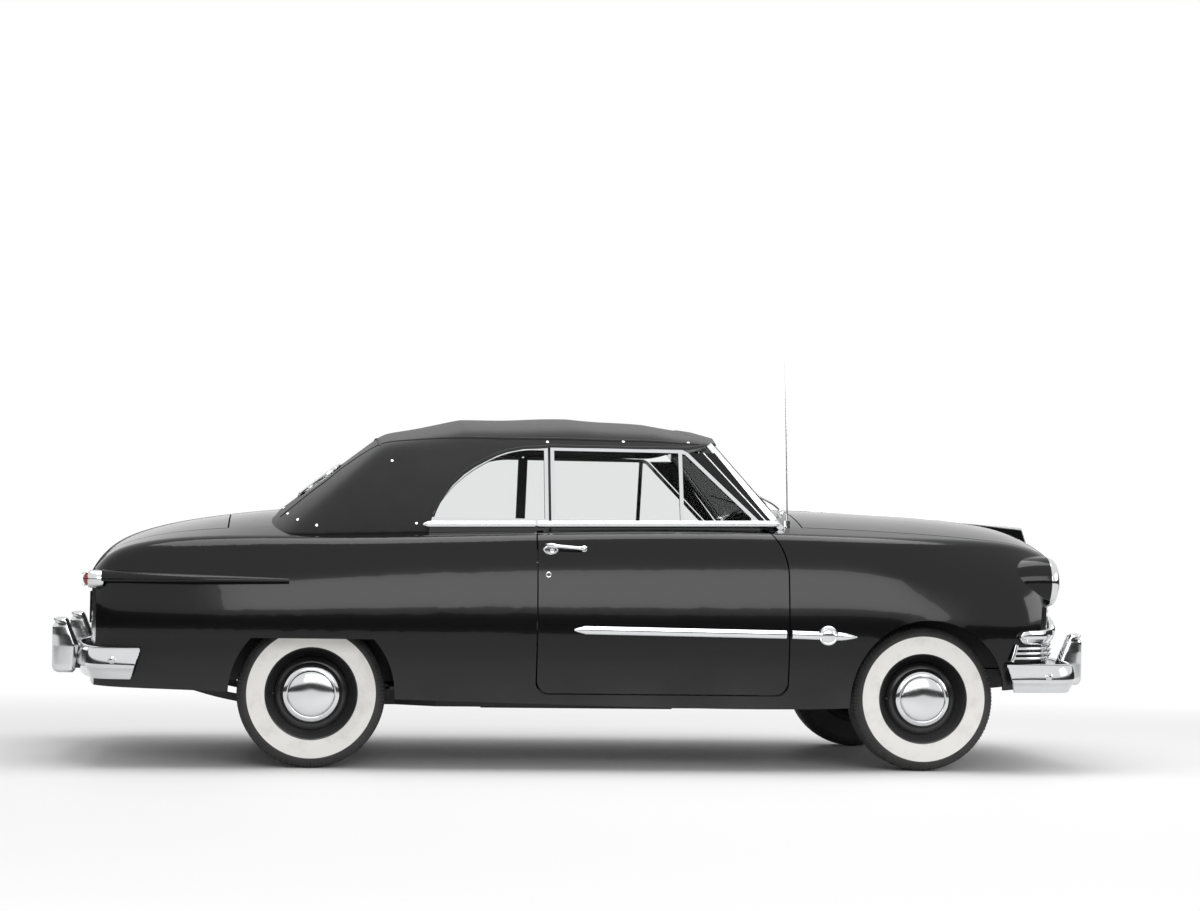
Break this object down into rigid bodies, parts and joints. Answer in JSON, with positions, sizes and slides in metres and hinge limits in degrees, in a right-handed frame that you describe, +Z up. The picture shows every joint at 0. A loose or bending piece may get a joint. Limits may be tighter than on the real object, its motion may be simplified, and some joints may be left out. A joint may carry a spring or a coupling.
{
  "type": "1950s convertible car",
  "caption": "Full-size two-door convertible car with its fabric top up, turning and steering wheels, and doors, hood and deck lid that open.",
  "frame": {"origin": "centre of the bounding box's bottom face: on the ground, on the centre line, midway between the bumper guards", "axes": "+X forward, +Y to the car's left, +Z up"},
  "size_m": [4.989, 1.861, 1.9451],
  "materials": {
    "black_paint": "gloss enamel",
    "black_steel": "satin black chassis paint",
    "wheel_paint": "gloss black wheels with bright caps",
    "chrome": "polished plate",
    "glass": "clear",
    "red_lens": "moulded lens",
    "engine_iron": "painted casting",
    "tyre_rubber": "black tread with white side walls",
    "top_canvas": "woven canvas",
    "seat_leather": "satin hide",
    "wheel_plastic": "moulded rim",
    "top_frame_steel": "satin"
  },
  "bodies": {
    "root": {"aerial": "chrome", "cowl": "black_paint", "cross_members": "black_steel", "dashboard": "black_paint", "deck_panel": "black_paint", "engine": "engine_iron", "exhaust": "black_steel", "fender_left": "black_paint", "fender_right": "black_paint", "firewall": "black_steel", "floor_pan": "black_steel", "frame_rails": "black_steel", "front_bumper": "chrome", "front_seat_back": "seat_leather", "front_seat_cushion": "seat_leather", "front_suspension": "black_steel", "fuel_tank": "black_steel", "grille": "chrome", "headlamp_glasses": "glass", "inner_fenders": "black_steel", "lamp_rims": "chrome", "nose_panel": "black_paint", "quarter_left": "black_paint", "quarter_right": "black_paint", "quarter_window_frames": "chrome", "quarter_window_glass": "glass", "radiator": "black_steel", "rear_axle": "black_steel", "rear_bumper": "chrome", "rear_seat_back": "seat_leather", "rear_seat_cushion": "seat_leather", "rear_window": "glass", "sills": "black_paint", "steering_column": "black_paint", "tail_lamp_glasses": "red_lens", "tail_panel": "black_paint", "top_cover": "top_canvas", "top_frame": "top_frame_steel", "windshield_frame": "chrome", "windshield_glass": "glass"},
    "door_left": {"door_left": "black_paint", "door_frame_left": "chrome", "door_glass_left": "glass"},
    "door_right": {"door_right": "black_paint", "door_frame_right": "chrome", "door_glass_right": "glass"},
    "hood": {"hood": "black_paint", "hood_ornament": "chrome"},
    "deck_lid": {"deck_lid": "black_paint"},
    "knuckle_left": {"knuckle_left": "black_steel"},
    "knuckle_right": {"knuckle_right": "black_steel"},
    "wheel_front_left": {"wheel_front_left": "wheel_paint", "tyre_front_left": "tyre_rubber"},
    "wheel_front_right": {"wheel_front_right": "wheel_paint", "tyre_front_right": "tyre_rubber"},
    "wheel_rear_left": {"wheel_rear_left": "wheel_paint", "tyre_rear_left": "tyre_rubber"},
    "wheel_rear_right": {"wheel_rear_right": "wheel_paint", "tyre_rear_right": "tyre_rubber"},
    "steering_wheel": {"steering_wheel": "wheel_plastic"}
  },
  "joints": [
    {"name": "door_right_swing", "type": "hinge", "parent": "root", "child": "door_right", "pos_m": [0.905, -0.929, 0.64], "axis": [0, 0, 1], "range_deg": [0, 65]},
    {"name": "door_left_swing", "type": "hinge", "parent": "root", "child": "door_left", "pos_m": [0.905, 0.929, 0.64], "axis": [0, 0, -1], "range_deg": [0, 65]},
    {"name": "hood_lift", "type": "hinge", "parent": "root", "child": "hood", "pos_m": [1.032, 0, 1.24], "axis": [0, -1, 0], "range_deg": [0, 50]},
    {"name": "deck_lid_lift", "type": "hinge", "parent": "root", "child": "deck_lid", "pos_m": [-1.688, 0, 1.174], "axis": [0, 1, 0], "range_deg": [0, 55]},
    {"name": "steer_right", "type": "hinge", "parent": "root", "child": "knuckle_right", "pos_m": [1.608, -0.6, 0.343], "axis": [0, 0, 1], "range_deg": [-30, 30]},
    {"name": "steer_left", "type": "hinge", "parent": "root", "child": "knuckle_left", "pos_m": [1.608, 0.6, 0.343], "axis": [0, 0, 1], "range_deg": [-30, 30]},
    {"name": "steering_wheel_turn", "type": "hinge", "parent": "root", "child": "steering_wheel", "pos_m": [0.25, 0.37, 0.965], "axis": [-0.891, 0, 0.454], "range_deg": [-600, 600]},
    {"name": "front_right_spin", "type": "hinge", "parent": "knuckle_right", "child": "wheel_front_right", "pos_m": [1.608, -0.711, 0.343], "axis": [0, 1, 0], "continuous": true},
    {"name": "front_left_spin", "type": "hinge", "parent": "knuckle_left", "child": "wheel_front_left", "pos_m": [1.608, 0.711, 0.343], "axis": [0, 1, 0], "continuous": true},
    {"name": "rear_right_spin", "type": "hinge", "parent": "root", "child": "wheel_rear_right", "pos_m": [-1.288, -0.711, 0.343], "axis": [0, 1, 0], "continuous": true},
    {"name": "rear_left_spin", "type": "hinge", "parent": "root", "child": "wheel_rear_left", "pos_m": [-1.288, 0.711, 0.343], "axis": [0, 1, 0], "continuous": true}
  ],
  "couplings": [
    {"joint": "steer_left", "follows": "steer_right", "ratio": 1}
  ]
}
